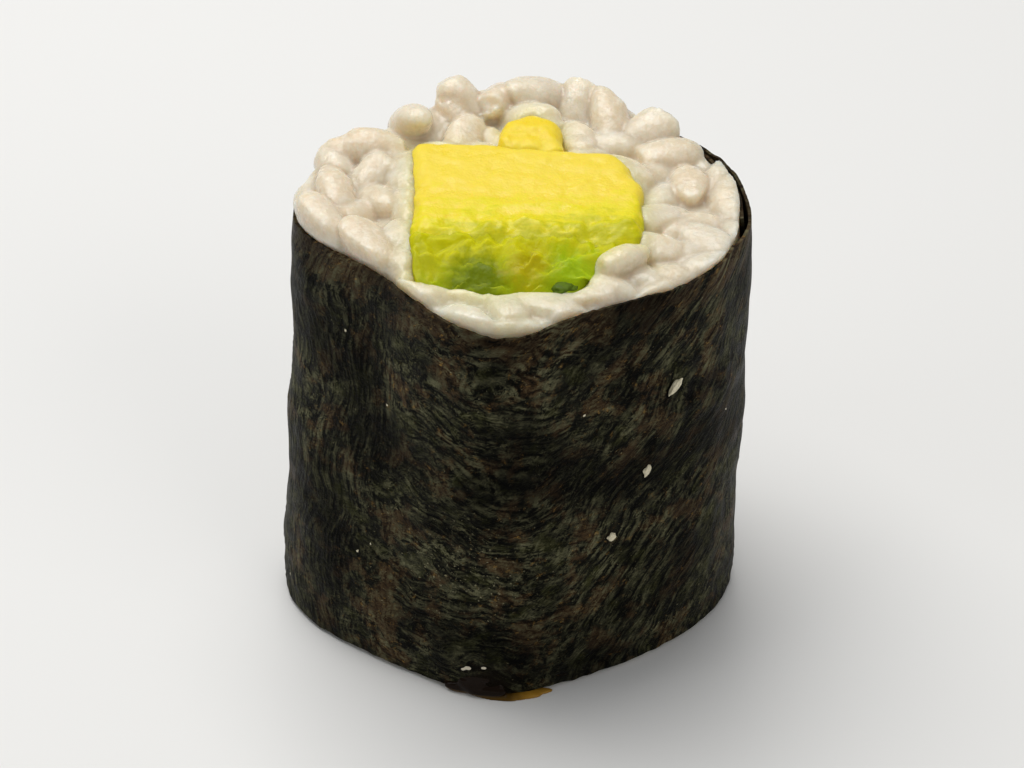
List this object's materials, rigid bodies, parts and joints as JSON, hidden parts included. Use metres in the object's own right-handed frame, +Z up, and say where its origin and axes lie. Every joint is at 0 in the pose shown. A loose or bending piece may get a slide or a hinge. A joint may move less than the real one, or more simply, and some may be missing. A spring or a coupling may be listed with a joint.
{
  "type": "avocado hosomaki piece",
  "caption": "Short upright cut piece of thin sushi roll: nori wrapped round sushi rice, with avocado strips through the middle that show at both cut ends.",
  "frame": {"origin": "under the middle of the piece's bounding box, on the surface that it stands on", "axes": "+Z up along the roll's axis, from the cut end it stands on to the cut end that shows; +Y across the flatter way of the oval section, away from the viewer of the picture; +X along the wider way, to the viewer's right"},
  "size_m": [0.0322, 0.0282, 0.0335],
  "materials": {
    "nori": "satin",
    "rice": "moist",
    "avocado_flesh": "moist",
    "avocado_rim": "moist"
  },
  "bodies": {
    "root": {"nori_sheet": "nori", "rice": "rice", "avocado_slab": "avocado_flesh", "avocado_slice": "avocado_rim", "avocado_offcut": "avocado_flesh"}
  },
  "joints": []
}
